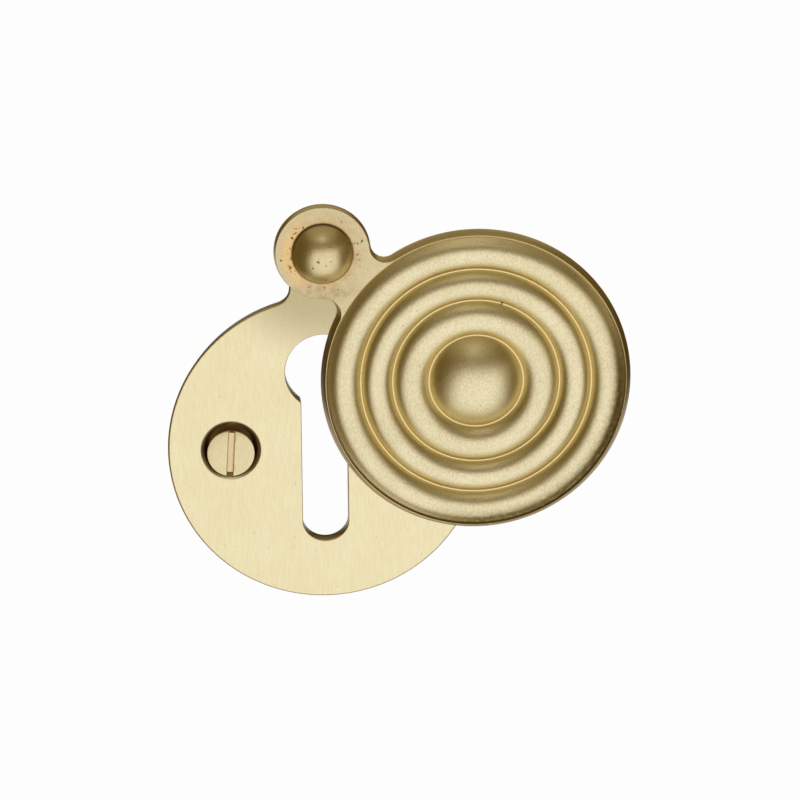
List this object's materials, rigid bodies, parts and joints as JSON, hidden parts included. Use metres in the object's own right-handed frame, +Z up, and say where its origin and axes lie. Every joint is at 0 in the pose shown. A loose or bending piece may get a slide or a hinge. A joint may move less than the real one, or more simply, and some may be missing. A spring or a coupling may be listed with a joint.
{
  "type": "keyhole escutcheon",
  "caption": "Round brass keyhole plate with a reeded cover that swings aside on a domed rivet.",
  "frame": {"origin": "middle of the plate's round part, on its flat back", "axes": "+Z up towards the pivot, the front faces -Y, the screws point along +Y"},
  "size_m": [0.0487, 0.0158, 0.043],
  "materials": {
    "plate_brass": "satin, finely brushed upright",
    "cover_brass": "satin with darker hollows",
    "rivet_brass": "satin, worn",
    "screw_brass": "satin"
  },
  "bodies": {
    "plate": {"backplate": "plate_brass", "pivot_rivet": "rivet_brass", "fixing_screw_left": "screw_brass", "fixing_screw_right": "screw_brass"},
    "cover": {"swing_cover": "cover_brass"}
  },
  "joints": [
    {"name": "cover_swing", "type": "hinge", "parent": "plate", "child": "cover", "pos_m": [0, -0.00195, 0.0214], "axis": [0, -1, 0], "continuous": true}
  ]
}
